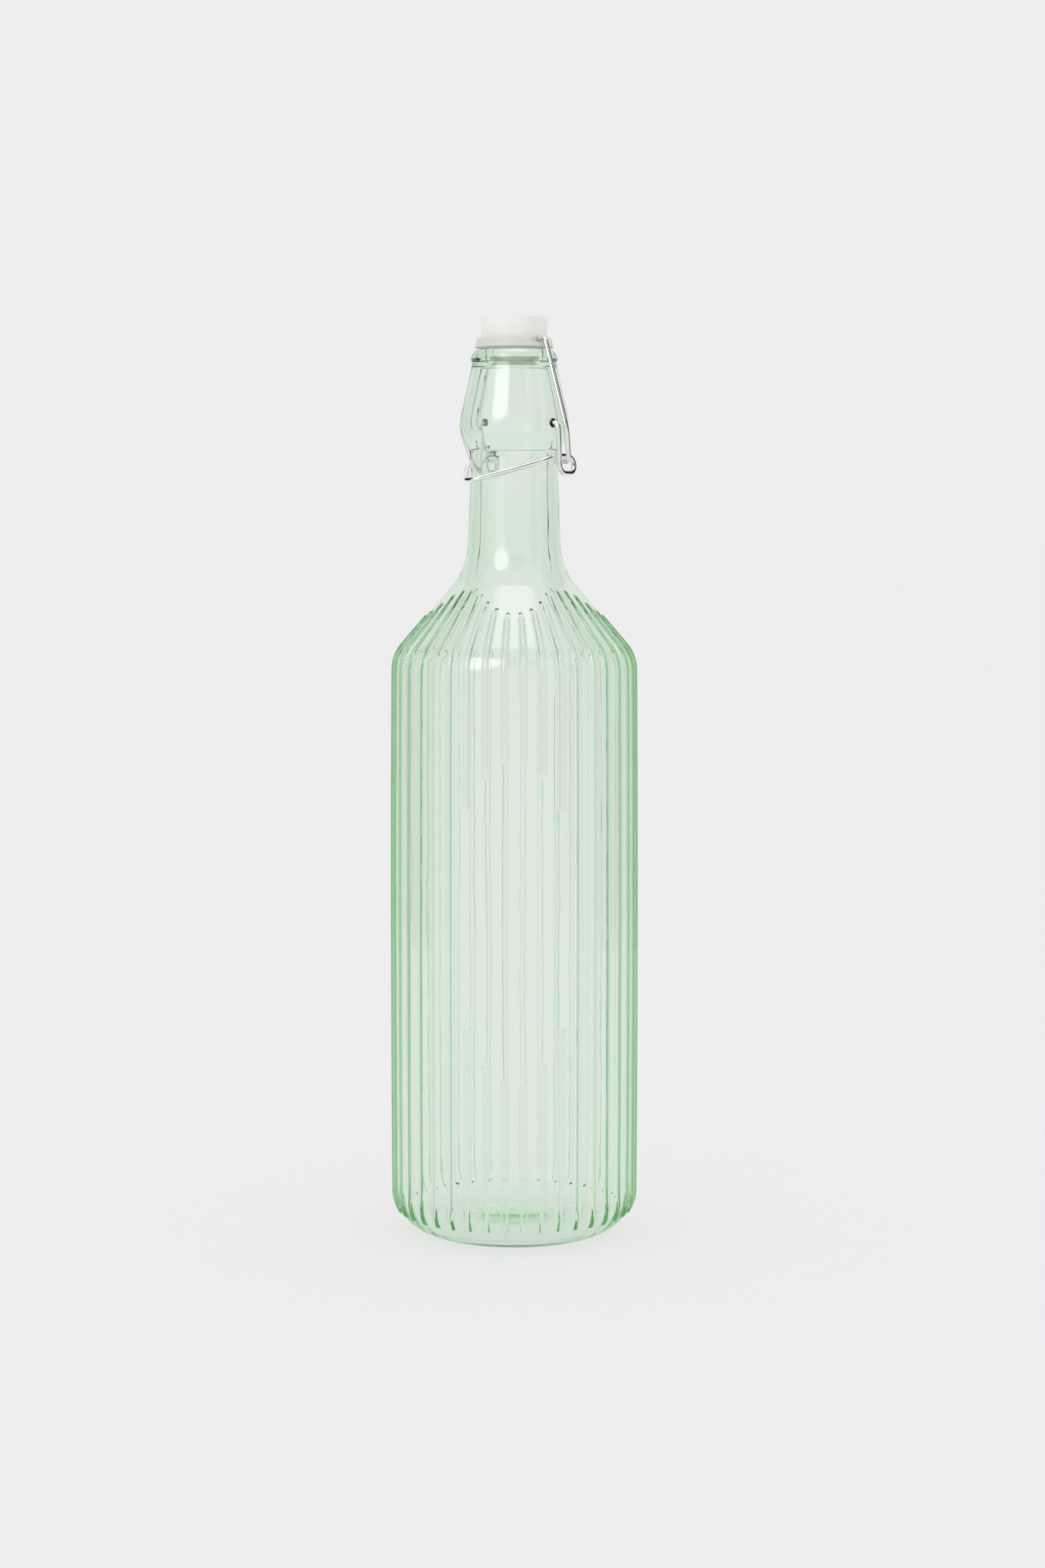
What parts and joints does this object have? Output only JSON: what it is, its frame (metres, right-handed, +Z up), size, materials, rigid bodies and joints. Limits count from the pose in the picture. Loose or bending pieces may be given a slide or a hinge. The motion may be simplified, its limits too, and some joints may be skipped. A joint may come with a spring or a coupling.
{
  "type": "swing top bottle",
  "caption": "Clear pale green ribbed glass bottle with cone shoulder and bulged neck finish, closed by a plastic stopper on a hinged wire bail and lever that swings open.",
  "frame": {"origin": "on the surface the bottle stands on, under the bottle's axis", "axes": "+Z up along the bottle's axis, X along the pivot axis of the wire, -Y towards the front where the thumb handle is"},
  "size_m": [0.0848, 0.0848, 0.313],
  "materials": {
    "glass": "pale green bottle glass, smooth and glossy",
    "wire": "bright drawn steel wire, plated",
    "stopper": "white moulded plastic, satin gloss, slightly translucent",
    "gasket": "pale soft rubber, matt"
  },
  "bodies": {
    "bottle": {"bottle": "glass"},
    "lever": {"lever_wire": "wire"},
    "bail": {"bail_wire": "wire"},
    "stopper": {"stopper_cap": "stopper", "gasket": "gasket"}
  },
  "joints": [
    {"name": "lever_pivot", "type": "hinge", "parent": "bottle", "child": "lever", "pos_m": [0, 0, 0.2764], "axis": [-1, 0, 0], "range_deg": [0, 95]},
    {"name": "bail_pivot", "type": "hinge", "parent": "lever", "child": "bail", "pos_m": [0, 0.003, 0.2634], "axis": [-1, 0, 0], "range_deg": [-67, 0]},
    {"name": "stopper_pivot", "type": "hinge", "parent": "bail", "child": "stopper", "pos_m": [0, 0, 0.3049], "axis": [-1, 0, 0], "range_deg": [-29, 0]}
  ],
  "couplings": [
    {"joint": "bail_pivot", "follows": "lever_pivot", "ratio": -0.7},
    {"joint": "stopper_pivot", "follows": "lever_pivot", "ratio": -0.3}
  ]
}
